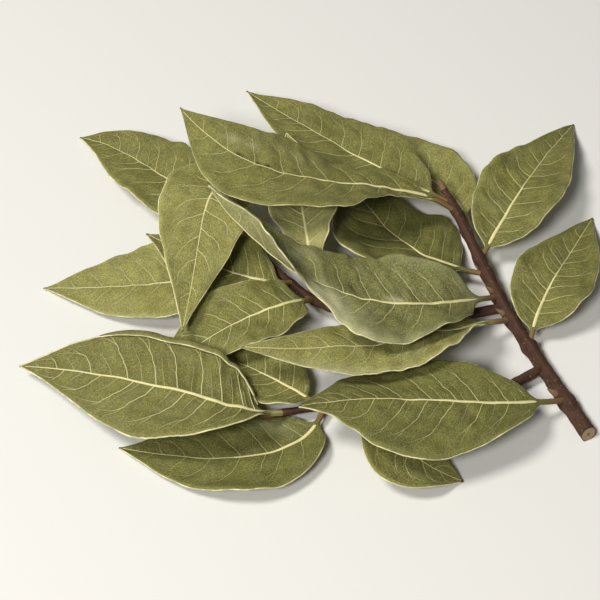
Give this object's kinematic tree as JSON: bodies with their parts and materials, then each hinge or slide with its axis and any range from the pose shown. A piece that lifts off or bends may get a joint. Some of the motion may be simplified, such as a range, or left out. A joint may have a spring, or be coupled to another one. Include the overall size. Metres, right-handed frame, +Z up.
{
  "type": "bay leaf sprig",
  "caption": "Dried bay laurel sprig lying flat: a branched reddish-brown twig with stalked, gently waved, olive-green leathery leaves.",
  "frame": {"origin": "on the table under the middle of the whole sprig's box", "axes": "+Z up from the table, +X toward the side where the twig's cut end lies, +Y away from that end"},
  "size_m": [0.1643, 0.1454, 0.0346],
  "materials": {
    "olive_leaf": "matte, fine veins, cream edge line",
    "dark_leaf": "matte, fine veins, cream edge line",
    "pale_leaf": "matte, yellower underside, raised pale midrib",
    "twig_bark": "matte, lengthwise wrinkles"
  },
  "bodies": {
    "root": {"twig": "twig_bark", "leaf_01": "dark_leaf", "leaf_02": "olive_leaf", "leaf_03": "pale_leaf", "leaf_04": "dark_leaf", "leaf_05": "olive_leaf", "leaf_06": "olive_leaf", "leaf_07": "pale_leaf", "leaf_08": "olive_leaf", "leaf_09": "olive_leaf", "leaf_10": "olive_leaf", "leaf_11": "olive_leaf", "leaf_12": "dark_leaf", "leaf_13": "pale_leaf", "leaf_14": "pale_leaf", "leaf_15": "pale_leaf", "leaf_16": "olive_leaf", "leaf_17": "pale_leaf", "leaf_18": "pale_leaf", "leaf_19": "olive_leaf"}
  },
  "joints": []
}
